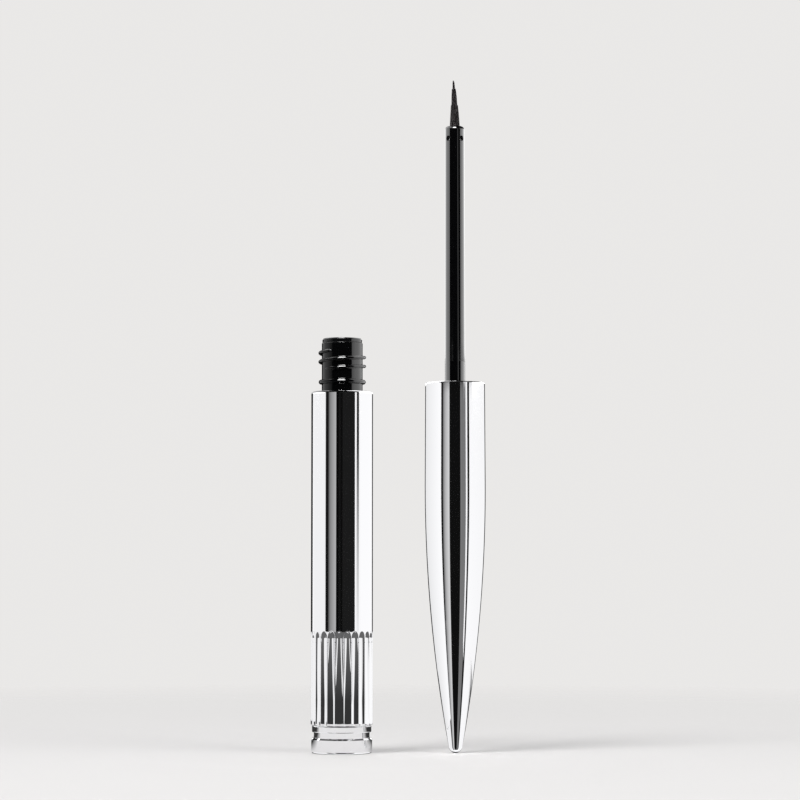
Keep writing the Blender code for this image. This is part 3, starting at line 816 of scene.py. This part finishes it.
def cap_gasket(axis_x):
    """The foam washer in the bottom of the well, with soft edges."""
    low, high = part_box("cap_gasket")
    outer = (high.x - low.x) / 2.0 - GASKET_EDGE
    inner = SOCKET_BORE + GASKET_EDGE
    points = arc((outer, low.z + GASKET_EDGE), GASKET_EDGE, -90, 0)
    points += arc((outer, high.z - GASKET_EDGE), GASKET_EDGE, 0, 90)
    points += arc((inner, high.z - GASKET_EDGE), GASKET_EDGE, 90, 180)
    points += arc((inner, low.z + GASKET_EDGE), GASKET_EDGE, 180, 270)
    return turned("cap_gasket_foam", points, axis_x=axis_x)


def stem_radius_at(height, foot, top, foot_radius):
    """The stem tapers slightly from the cap's rim up to its shoulder."""
    share = min(max((height - foot) / (top - foot), 0.0), 1.0)
    return foot_radius + (STEM_TOP_RADIUS - foot_radius) * share


def dimple_sink(around, height, radius, dimple_height):
    """How deep the nearest dimple is at a place on the stem, given the angle in degrees and the height."""
    spacing = 360.0 / DIMPLE_COUNT
    offset = (around - DIMPLE_TURN + spacing / 2.0) % spacing - spacing / 2.0
    distance = math.hypot(math.radians(offset) * radius, height - dimple_height)
    share = distance / (DIMPLE_DIAMETER / 2.0)
    return DIMPLE_DEPTH * math.sqrt(1.0 - share**DIMPLE_FLATNESS) if share < 1.0 else 0.0


def applicator_stem(axis_x):
    """The tapered rod with its round shoulder and the dimples that stake it onto the brush."""
    low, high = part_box("applicator_stem")
    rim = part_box("cap_shell")[1].z
    foot_radius = (high.x - low.x) / 2.0
    shoulder_foot = high.z - STEM_SHOULDER_HEIGHT
    shoulder_width = STEM_TOP_RADIUS - STEM_SHOULDER_RADIUS
    dimple_height = high.z - DIMPLE_DROP
    dimple_reach = DIMPLE_DIAMETER * DIMPLE_ROWS_REACH
    lowest = dimple_height - dimple_reach
    heights = [lowest + 2.0 * dimple_reach * i / DIMPLE_ROWS for i in range(DIMPLE_ROWS + 1)]
    points = [(0.0, low.z), (foot_radius - STEM_FOOT_CHAMFER, low.z)]
    points += [(foot_radius, low.z + STEM_FOOT_CHAMFER), (foot_radius, rim)]
    points += [(stem_radius_at(height, rim, shoulder_foot, foot_radius), height) for height in heights]
    points += [
        (STEM_SHOULDER_RADIUS + shoulder_width * across, shoulder_foot + STEM_SHOULDER_HEIGHT * up)
        for across, up in arc((0.0, 0.0), 1.0, 0, 90)
    ]
    socket_end = high.z - BRUSH_SOCKET_DEPTH
    points += [(BRUSH_BORE, high.z), (BRUSH_BORE, socket_end), (0.0, socket_end)]
    made = bmesh.new()
    add_turned(made, points, STEM_COLUMNS, axis_x)
    for vert in made.verts:
        flat = Vector((vert.co.x - axis_x, vert.co.y))
        radius = flat.length
        if radius < STEM_SHOULDER_RADIUS:
            continue
        around = math.degrees(math.atan2(flat.x, -flat.y))
        sink = dimple_sink(around, vert.co.z, radius, dimple_height)
        flat *= (radius - sink) / radius
        vert.co.x = axis_x + flat.x
        vert.co.y = flat.y
    return finish_mesh("stem_moulded", made)


def curve_share(share, places, values):
    """A value read from straight stretches between a few shares."""
    for (low, high), (start, end) in zip(zip(places, places[1:]), zip(values, values[1:])):
        if share <= high:
            along = (share - low) / (high - low)
            return start + (end - start) * along
    return values[-1]


def brush_tuft(axis_x):
    """Filaments spread evenly over the root, drawn together upwards and cut in three groups of lengths."""
    stem_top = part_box("applicator_stem")[1].z
    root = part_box("brush")[0].z
    draw = random.Random(BRUSH_SEED)
    golden = math.pi * (3.0 - math.sqrt(5.0))
    made = bmesh.new()
    for i in range(FIBRE_COUNT):
        share = math.sqrt((i + 0.5) / FIBRE_COUNT)
        angle = golden * i
        group = next(k for k, edge in enumerate(GROUP_EDGE_SHARES) if share <= edge)
        scatter = GROUP_SCATTER_SHARES[group] * draw.random()
        length = BRUSH_LENGTH * (GROUP_LENGTH_SHARES[group] - scatter)
        wander = draw.uniform(-FIBRE_WANDER, FIBRE_WANDER)
        rings = []
        for step in range(FIBRE_STEPS + 1):
            rise = length * step / FIBRE_STEPS
            width = curve_share(rise / BRUSH_LENGTH, BRUSH_HEIGHT_SHARES, BRUSH_WIDTH_SHARES)
            reach = (BRUSH_RADIUS - FIBRE_RADIUS) * share * width
            bent = FIBRE_LEAN * (rise / BRUSH_LENGTH) ** 2
            turn = angle + wander * step / FIBRE_STEPS
            centre = Vector((math.cos(turn), math.sin(turn), 0.0)) * reach
            centre += Vector((axis_x + bent, 0.0, stem_top + rise if step else root))
            near_end = min((1.0 - step / FIBRE_STEPS) * FIBRE_TIP_TAPER, 1.0)
            tip = FIBRE_TIP_THICKNESS + (1.0 - FIBRE_TIP_THICKNESS) * near_end
            thick = FIBRE_RADIUS * tip * (FIBRE_BUNDLED_THICKNESS + (1.0 - FIBRE_BUNDLED_THICKNESS) * width)
            corners = [centre + turn_place(thick, 360.0 * k / FIBRE_SIDES, 0.0) for k in range(FIBRE_SIDES)]
            rings.append([made.verts.new(corner) for corner in corners])
        for lower, upper in zip(rings, rings[1:]):
            for k in range(FIBRE_SIDES):
                following = (k + 1) % FIBRE_SIDES
                made.faces.new((lower[k], lower[following], upper[following], upper[k]))
        made.faces.new(rings[0])
        made.faces.new(rings[-1])
    return finish_mesh("brush_filaments", made, FIBRE_SHARP_ANGLE)


def add_camera():
    data = bpy.data.cameras.new("camera")
    data.sensor_width = SENSOR_WIDTH
    data.lens = CAMERA_LENS
    data.clip_start = CAMERA_CLIP
    camera = link("camera", data)
    camera.location = CAMERA_PLACE
    camera.rotation_euler = (math.radians(90.0 + CAMERA_TILT), 0.0, 0.0)
    bpy.context.scene.camera = camera


def add_softbox(name, place, target, size, power):
    """A square lamp that lights the object but doesn't show in its gloss."""
    data = bpy.data.lights.new(name, "AREA")
    data.size = size
    data.energy = power
    lamp = link(name, data)
    lamp.location = place
    lamp.rotation_euler = (Vector(target) - Vector(place)).to_track_quat("-Z", "Y").to_euler()
    lamp.visible_camera = False
    lamp.visible_glossy = False


def calculate(tree, operation, *values):
    """The result of a Math node."""
    node = add_node(tree, "ShaderNodeMath", operation=operation)
    for socket, value in zip(node.inputs, values):
        feed(tree, socket, value)
    return node.outputs["Value"]


def blend(tree, factor, first, second, kind="RGBA"):
    """A mix of two colours, or of two values where the kind is FLOAT."""
    mix = add_node(tree, "ShaderNodeMix", data_type=kind)
    for name, value in (("Factor", factor), ("A", first), ("B", second)):
        feed(tree, mix.inputs[name], (*value, 1.0) if isinstance(value, tuple) else value)
    return mix.outputs["Result"]


def coordinates(tree, vector):
    """Outputs named X, Y and Z, for a place or direction."""
    return add_node(tree, "ShaderNodeSeparateXYZ", Vector=vector).outputs


def azimuth_and_height(tree, vector):
    """The angle from the front, from 0 at -180 degrees to 1 at 180, and the Z of a place or direction."""
    along = coordinates(tree, vector)
    azimuth = calculate(tree, "ARCTAN2", along["X"], calculate(tree, "MULTIPLY", along["Y"], -1.0))
    return ranged(tree, azimuth, 0.0, 1.0, -math.pi, math.pi), along["Z"]


def band_ramp(tree, around, bands):
    """A brightness that goes by the angle from the front."""
    ramp = add_node(tree, "ShaderNodeValToRGB", Fac=around)
    elements = ramp.color_ramp.elements
    while len(elements) > 1:
        elements.remove(elements[-1])
    for i, (angle, brightness) in enumerate(bands):
        place = (angle + 180.0) / 360.0
        element = elements[0] if i == 0 else elements.new(place)
        element.position = place
        element.color = (brightness, brightness, brightness, 1.0)
    return ramp.outputs["Color"]


def new_surface(name):
    """A material with nothing in it but its output, its nodes, and the output's surface."""
    made = bpy.data.materials.new(name)
    made.use_nodes = True
    tree = made.node_tree
    tree.nodes.clear()
    return made, tree, add_node(tree, "ShaderNodeOutputMaterial").inputs["Surface"]


def partly_clear(tree, share, shader):
    """A shader that is clear apart from a share of it."""
    clear = add_node(tree, "ShaderNodeBsdfTransparent")
    mix = add_node(tree, "ShaderNodeMixShader", Fac=share)
    tree.links.new(clear.outputs["BSDF"], mix.inputs[1])
    tree.links.new(shader, mix.inputs[2])
    return mix.outputs["Shader"]


def add_world():
    """A plain backdrop to the eye, even soft light on the object, and a studio of bands to its gloss."""
    world = bpy.data.worlds.new("studio")
    bpy.context.scene.world = world
    world.use_nodes = True
    tree = world.node_tree
    tree.nodes.clear()
    around, height = azimuth_and_height(tree, add_node(tree, "ShaderNodeTexCoord").outputs["Generated"])
    below_overhead = ranged(tree, height, 1.0, 0.0, *RAISED_TO)
    in_raised = calculate(tree, "MULTIPLY", ranged(tree, height, 0.0, 1.0, *RAISED_FROM), below_overhead)
    level, raised, overhead = (
        band_ramp(tree, around, bands) for bands in (LEVEL_BANDS, RAISED_BANDS, OVERHEAD_BANDS)
    )
    studio = blend(tree, in_raised, level, raised)
    studio = blend(tree, ranged(tree, height, 0.0, 1.0, *OVERHEAD_FROM), studio, overhead)
    studio = blend(tree, ranged(tree, height, 0.0, 1.0, *OVERHEAD_TO), studio, ZENITH_COLOUR)
    studio = blend(tree, ranged(tree, height, 1.0, 0.0, *UNDERNEATH_TO), studio, UNDERNEATH_COLOUR)
    rays = add_node(tree, "ShaderNodeLightPath").outputs
    lit = blend(tree, rays["Is Glossy Ray"], AMBIENT_COLOUR, studio)
    seen = blend(tree, rays["Is Camera Ray"], lit, BACKDROP_COLOUR)
    background = add_node(tree, "ShaderNodeBackground", Color=seen)
    add_node(tree, "ShaderNodeOutputWorld", Surface=background.outputs["Background"])


def add_floor():
    """A pale round floor that fades into the backdrop. The gloss sees it near by, and dimmer behind, where
    its colour is painted darker for the gloss alone.
    """
    made = bmesh.new()
    bmesh.ops.create_circle(made, cap_ends=True, segments=FLOOR_SEGMENTS, radius=FLOOR_RADIUS)
    mesh = bpy.data.meshes.new("floor")
    made.to_mesh(mesh)
    made.free()
    material, tree, surface = new_surface("floor")
    in_gloss = add_node(tree, "ShaderNodeLightPath").outputs["Is Glossy Ray"]
    place = own_place(tree)
    length = add_node(tree, "ShaderNodeVectorMath", operation="LENGTH")
    feed(tree, length.inputs[0], place)
    distance = length.outputs["Value"]
    facing = add_node(tree, "ShaderNodeLayerWeight", Blend=0.5).outputs["Facing"]
    grazing = ranged(tree, facing, 0.0, 1.0, *FLOOR_GRAZING)
    mirrored = calculate(tree, "MULTIPLY", ranged(tree, distance, 1.0, 0.0, *FLOOR_IN_GLOSS), grazing)
    shown = blend(tree, in_gloss, ranged(tree, distance, 1.0, 0.0, *FLOOR_FADE), mirrored, "FLOAT")
    # Painted shade for the gloss only: the floor's colour is darkened behind the object, from further back on
    # the applicator's side, so that the metal reflects a darker floor there. The eye and the lamps see the
    # floor evenly pale.
    along = coordinates(tree, place)
    behind = ranged(tree, along["Y"], 1.0, FLOOR_DIM_SHARE, *FLOOR_DIMS_BEHIND)
    behind_right = ranged(tree, along["Y"], 1.0, FLOOR_DIM_SHARE, *FLOOR_DIMS_BEHIND_RIGHT)
    right = ranged(tree, along["X"], 0.0, 1.0, *FLOOR_RIGHT_FROM)
    dimmed = blend(tree, in_gloss, 1.0, blend(tree, right, behind, behind_right, "FLOAT"), "FLOAT")
    colour = add_node(tree, "ShaderNodeVectorMath", operation="SCALE", Scale=dimmed)
    colour.inputs[0].default_value = FLOOR_COLOUR
    pale = add_node(tree, "ShaderNodeBsdfDiffuse", Color=colour.outputs["Vector"])
    tree.links.new(partly_clear(tree, shown, pale.outputs["BSDF"]), surface)
    mesh.materials.append(material)
    floor = link("floor", mesh)


def add_card(name, points, faces, tone, share=None):
    """A studio card that only reflections show.

    Its tone is a brightness, or a function that makes one in the material. The share of it that isn't clear
    is such a function too.
    """
    mesh = bpy.data.meshes.new(name)
    mesh.from_pydata(points, [], faces)
    made, tree, surface = new_surface(name)
    strength = tone(tree) if callable(tone) else tone
    glow = add_node(tree, "ShaderNodeEmission", Color=(1.0, 1.0, 1.0, 1.0), Strength=strength)
    shader = glow.outputs["Emission"]
    tree.links.new(partly_clear(tree, share(tree), shader) if share else shader, surface)
    mesh.materials.append(made)
    card = link(name, mesh)
    card.visible_camera = False
    card.visible_diffuse = False
    card.visible_shadow = False
    card.visible_transmission = False
    return card


def front_only(tree):
    """Clears a card where it is seen from its back."""
    back = add_node(tree, "ShaderNodeNewGeometry").outputs["Backfacing"]
    return ranged(tree, back, 1.0, 0.0, 0.0, 1.0)


def fading(axis, values, places):
    """A function for a card's material: a value that fades between two places along an axis of the card."""
    return lambda tree: ranged(tree, coordinates(tree, own_place(tree))[axis], *values, *places)


def add_upright_card(name, place, tone, share=None):
    """A flat card. Its back is on the left of the way from its first point in plan to its second."""
    start, end, low, high = place
    points = [(*start, low), (*end, low), (*end, high), (*start, high)]
    add_card(name, points, [(0, 1, 2, 3)], tone, share)


def add_ring_card(name, axis_x, reach, radii, heights, tone):
    """A card round an axis, from one angle to another and from one edge to another.

    Its front is towards the axis where it goes up from edge to edge, above it where it goes outwards, and
    below it where it goes inwards.
    """
    first, last = reach
    steps = max(round((last - first) / RING_CARD_STEP), 1)
    turns = [first + (last - first) * i / steps for i in range(steps + 1)]
    points = [turn_place(radius, turn, height) for radius, height in zip(radii, heights) for turn in turns]
    faces = [(steps + 1 + i, steps + 2 + i, i + 1, i) for i in range(steps)]
    card = add_card(name, points, faces, tone, front_only)
    card.location.x = axis_x


def arc_angle(sent_at, wall_radius, arc_radius):
    """Where round the axis the gloss that a round wall sends off at an angle from the front meets a card."""
    start = turn_place(wall_radius, sent_at / 2.0, 0.0)
    way = turn_place(1.0, sent_at, 0.0)
    along = start.dot(way)
    place = start + way * (math.sqrt(along**2 + arc_radius**2 - wall_radius**2) - along)
    return math.degrees(math.atan2(place.x, -place.y))


def add_banded_card(name, axis_x, wall_radius, arc_radius, heights, tones):
    """A card bent round a wall, with the tones that the wall is to show."""
    bands = [(arc_angle(sent_at, wall_radius, arc_radius), brightness) for sent_at, brightness in tones]

    def tone(tree):
        return band_ramp(tree, azimuth_and_height(tree, own_place(tree))[0], bands)

    add_ring_card(name, axis_x, (bands[0][0], bands[-1][0]), (arc_radius, arc_radius), heights, tone)


def flute_tone(tree):
    """Dark in the middle and white at the sides. The dark part narrows upwards and gets lighter."""
    around, height = azimuth_and_height(tree, own_place(tree))
    off_middle = calculate(tree, "SUBTRACT", around, 0.5 + FLUTE_DARK_MIDDLE / 360.0)
    lowest, highest = (limit / 360.0 for limit in FLUTE_DARK_LIMIT)
    limit = ranged(tree, height, lowest, highest, *FLUTE_DARK_HEIGHTS)
    ratio = calculate(tree, "DIVIDE", calculate(tree, "ABSOLUTE", off_middle), limit)
    dark = ranged(tree, height, *FLUTE_DARK_TONE, *FLUTE_DARK_HEIGHTS)
    return blend(tree, ranged(tree, ratio, 0.0, 1.0, *FLUTE_DARK_EDGE), dark, FLUTE_WHITE_TONE, "FLOAT")


def add_studio():
    """Soft lamps from the front left and the right, and the cards that the polished surfaces mirror."""
    add_softbox("key", KEY_PLACE, KEY_TARGET, KEY_SIZE, KEY_POWER)
    add_softbox("fill", FILL_PLACE, FILL_TARGET, FILL_SIZE, FILL_POWER)

    add_upright_card("card_bright_strip", BRIGHT_STRIP, BRIGHT_STRIP_TONE)
    fade = fading("Z", DARK_STRIP_SHARES, DARK_STRIP_FADE)
    add_upright_card("card_dark_strip", DARK_STRIP, DARK_STRIP_TONE, fade)
    add_upright_card("card_divider_left", DIVIDER_LEFT, DIVIDER_LEFT_TONE, front_only)
    tone = fading("Y", DIVIDER_RIGHT_TONES, DIVIDER_RIGHT_FADE)
    add_upright_card("card_divider_right", DIVIDER_RIGHT, tone, front_only)
    add_upright_card("card_divider_stem", DIVIDER_STEM, DIVIDER_STEM_TONE)
    add_upright_card("card_left_edge", LEFT_EDGE, LEFT_EDGE_TONE)

    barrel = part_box("barrel_sleeve")[1].x
    cap_low, cap_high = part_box("cap_shell")
    cap_axis = (cap_low.x + cap_high.x) / 2.0
    add_banded_card("card_barrel", 0.0, barrel, BARREL_ARC, BARREL_CARD_HEIGHTS, BARREL_TONES)
    flute_radii = (BARREL_ARC, BARREL_ARC)
    add_ring_card("card_flutes", 0.0, FLUTE_CARD_REACH, flute_radii, FLUTE_CARD_HEIGHTS, flute_tone)
    for side, tones in (("left", NECK_LEFT_TONES), ("right", NECK_RIGHT_TONES)):
        add_banded_card(f"card_neck_{side}", 0.0, NECK_RADIUS, NECK_ARC, NECK_CARD_HEIGHTS, tones)
    mouth_tones = NECK_LEFT_TONES + NECK_RIGHT_TONES
    add_banded_card("card_mouth", 0.0, NECK_RADIUS, MOUTH_ARC, MOUTH_CARD_HEIGHTS, mouth_tones)
    add_banded_card("card_stem_foot", cap_axis, STEM_TOP_RADIUS, STEM_ARC, STEM_CARD_HEIGHTS, STEM_TONES)

    # Painted shade in the gloss: dark shelves close to the metal darken what the flute ends, the base ring's
    # top and the cap's rim reflect.
    inwards = BARREL_SHELF_RADII[::-1]
    shelves = (
        ("card_flute_ends", 0.0, FLUTE_END_REACH, BARREL_SHELF_RADII, FLUTE_END_SHELF, BARREL_SHELF_TONE),
        ("card_ring_top", 0.0, FLUTE_CARD_REACH, inwards, RING_SHELF, BARREL_SHELF_TONE),
        ("card_cap_rim", cap_axis, RIM_SHELF_REACH, RIM_SHELF_RADII[::-1], RIM_SHELF, RIM_SHELF_TONE),
    )
    for name, axis_x, reach, radii, height, tone in shelves:
        add_ring_card(name, axis_x, reach, radii, (height, height), tone)


def main():
    bpy.context.scene.view_settings.view_transform = "Standard"
    finishes = {
        "mirror_metal": mirror_metal(),
        "ball_steel": ball_steel(),
        "black_plastic": gloss_plastic("black_plastic", BLACK_COLOUR, BLACK_GLOSS, strength=0.1),
        "wiper_plastic": gloss_plastic("wiper_plastic", WIPER_COLOUR, WIPER_GLOSS, strength=0.3),
        "gasket_foam": gasket_foam(),
        "brush_fibre": brush_fibre(),
    }

    def place_piece(piece, body, slot, *nodes):
        """The piece rides on a body, has its material slot's finish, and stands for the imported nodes."""
        piece.data.materials.append(finishes[slot])
        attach(piece, body)
        if nodes:
            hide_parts(*nodes)

    place_piece(base_plug(), "bottle", "mirror_metal", "base_plug")
    place_piece(barrel_sleeve(), "bottle", "mirror_metal", "barrel_sleeve")
    place_piece(inner_vial(), "bottle", "black_plastic", "inner_vial")
    turns = (THREAD_END_ANGLE, THREAD_START_ANGLE)
    neck_thread = thread("neck_thread", NECK_RADIUS, THREAD_RADIUS, THREAD_HEIGHT_AT_LEFT, *turns)
    place_piece(neck_thread, "bottle", "black_plastic")
    place_piece(wiper(), "bottle", "wiper_plastic", "wiper")
    place_piece(mixing_ball(), "ball", "ball_steel", "mixing_ball")

    low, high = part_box("cap_shell")
    axis_x = (low.x + high.x) / 2.0
    place_piece(cap_shell(axis_x), "applicator", "mirror_metal", "cap_shell")
    place_piece(cap_liner(axis_x), "applicator", "black_plastic", "cap_liner")
    left_height = high.z - INNER_THREAD_DROP
    turns = (0.0, INNER_THREAD_TURN)
    inner_thread = thread("cap_thread", LINER_WELL_RADIUS, INNER_THREAD_RADIUS, left_height, *turns, axis_x)
    place_piece(inner_thread, "applicator", "black_plastic")
    place_piece(cap_gasket(axis_x), "applicator", "gasket_foam", "cap_gasket")
    place_piece(applicator_stem(axis_x), "applicator", "black_plastic", "applicator_stem")
    place_piece(brush_tuft(axis_x), "applicator", "brush_fibre", "brush")

    add_camera()
    add_world()
    add_floor()
    add_studio()


main()
